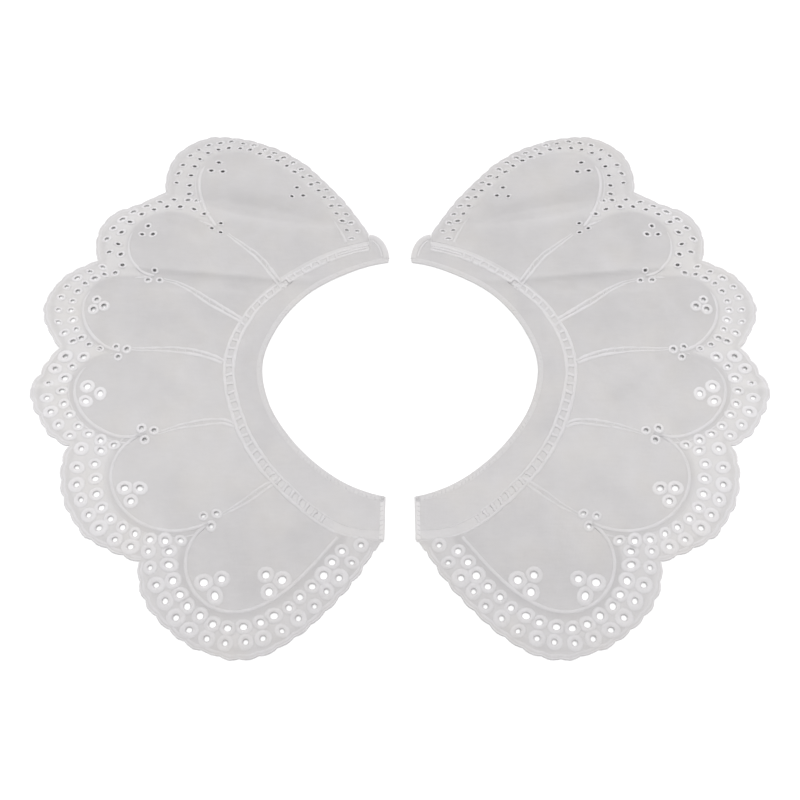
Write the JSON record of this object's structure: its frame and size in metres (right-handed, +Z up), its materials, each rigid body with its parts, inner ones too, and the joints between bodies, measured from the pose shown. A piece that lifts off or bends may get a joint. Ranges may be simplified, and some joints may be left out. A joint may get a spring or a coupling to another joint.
{
  "type": "lace collar",
  "caption": "Cotton collar in two mirrored halves round one neck opening, with rounded petals, a scalloped edge, cut eyelets and a ladder insertion.",
  "frame": {"origin": "middle of the collar's outline, on the surface that it lies on", "axes": "+X across the collar to the wearer's right half as laid out, +Y from the front ends to the back tips, +Z up off the surface"},
  "size_m": [0.3998, 0.305, 0.0018],
  "materials": {
    "cotton_lawn": "matte",
    "cotton_thread": "matte",
    "cotton_band": "matte"
  },
  "bodies": {
    "root": {"panel_left": "cotton_lawn", "panel_right": "cotton_lawn", "ladder_left": "cotton_thread", "ladder_right": "cotton_thread", "neckband_left": "cotton_band", "neckband_right": "cotton_band"}
  },
  "joints": []
}
